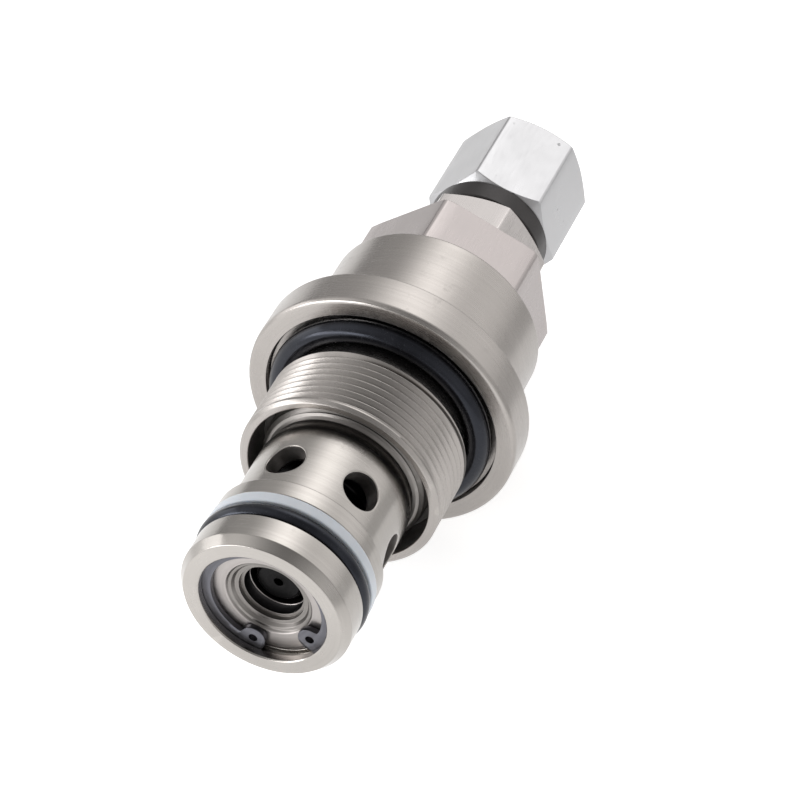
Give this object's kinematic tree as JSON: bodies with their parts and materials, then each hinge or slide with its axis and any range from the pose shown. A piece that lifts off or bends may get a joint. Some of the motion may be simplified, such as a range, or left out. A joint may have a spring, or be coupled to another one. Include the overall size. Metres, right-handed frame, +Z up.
{
  "type": "screw-in hydraulic relief cartridge valve",
  "caption": "Screw-in hydraulic cartridge valve: ported nose sleeve, threaded collar with sealing flange, body hexagon, lock nut and hexagon cap over a pressure adjuster.",
  "frame": {"origin": "on the valve's axis, in the plane of the flange face that seats on the manifold", "axes": "+X along the valve's axis from the open nose to the cap, +Z up with the valve lying on its side, +Y to the side"},
  "size_m": [0.1204, 0.049, 0.0491],
  "materials": {
    "body_steel": "satin turned, plated, slightly warm",
    "sleeve_steel": "finely turned and polished",
    "seat_steel": "fine turned",
    "spring_steel_dark": "dark blue-grey oxide",
    "rubber_black": "glossy, lightly oiled",
    "ptfe": "smooth waxy, bluish white",
    "hard_steel": "ground, hardened",
    "spring_wire": "drawn wire",
    "screw_steel": "satin",
    "nut_steel": "bright plated",
    "cap_metal": "pale satin, fine pits"
  },
  "bodies": {
    "body": {"plug_body": "body_steel", "sleeve": "sleeve_steel", "seat_ring": "seat_steel", "circlip": "spring_steel_dark", "nose_oring": "rubber_black", "nose_backup_ring": "ptfe", "flange_oring": "rubber_black", "main_spring": "spring_wire", "pilot_seat": "hard_steel", "pilot_seat_oring": "rubber_black", "pilot_spring": "spring_wire"},
    "poppet": {"main_poppet": "hard_steel", "orifice_plug": "hard_steel"},
    "pilot": {"pilot_poppet": "hard_steel"},
    "adjuster_seat": {"spring_seat": "hard_steel", "spring_seat_oring": "rubber_black"},
    "adjuster": {"adjusting_screw": "screw_steel"},
    "nut_ring": {"nut_washer": "screw_steel"},
    "lock_nut": {"lock_nut": "nut_steel"},
    "cap_ring": {"cap_seal": "rubber_black"},
    "cap": {"cap_nut": "cap_metal"}
  },
  "joints": [
    {"name": "main_poppet_lift", "type": "slide", "parent": "body", "child": "poppet", "axis": [1, 0, 0], "range_m": [0, 0.004], "stiffness_N_per_m": 3000, "springref_m": -0.004, "deforming": ["main_spring"]},
    {"name": "pilot_lift", "type": "slide", "parent": "body", "child": "pilot", "axis": [1, 0, 0], "range_m": [0, 0.001], "stiffness_N_per_m": 1200, "springref_m": -0.003, "deforming": ["pilot_spring"]},
    {"name": "adjuster_turn", "type": "hinge", "parent": "adjuster_seat", "child": "adjuster", "pos_m": [0.04, 0, 0], "axis": [1, 0, 0], "range_deg": [-960, 0]},
    {"name": "adjuster_advance", "type": "slide", "parent": "body", "child": "adjuster_seat", "axis": [1, 0, 0], "range_m": [-0.004, 0], "deforming": ["pilot_spring"]},
    {"name": "cap_turn", "type": "hinge", "parent": "cap_ring", "child": "cap", "pos_m": [0.06, 0, 0], "axis": [1, 0, 0], "range_deg": [0, 2880]},
    {"name": "cap_advance", "type": "slide", "parent": "body", "child": "cap_ring", "axis": [1, 0, 0], "range_m": [0, 0.012]},
    {"name": "lock_nut_turn", "type": "hinge", "parent": "nut_ring", "child": "lock_nut", "pos_m": [0.042, 0, 0], "axis": [1, 0, 0], "range_deg": [0, 240]},
    {"name": "lock_nut_advance", "type": "slide", "parent": "body", "child": "nut_ring", "axis": [1, 0, 0], "range_m": [0, 0.001]}
  ],
  "couplings": [
    {"joint": "adjuster_turn", "follows": "adjuster_advance", "rad_per_m": 4188.8},
    {"joint": "cap_turn", "follows": "cap_advance", "rad_per_m": 4188.8},
    {"joint": "lock_nut_advance", "follows": "cap_advance", "ratio": 0.083333},
    {"joint": "lock_nut_turn", "follows": "cap_advance", "rad_per_m": 349.07}
  ]
}
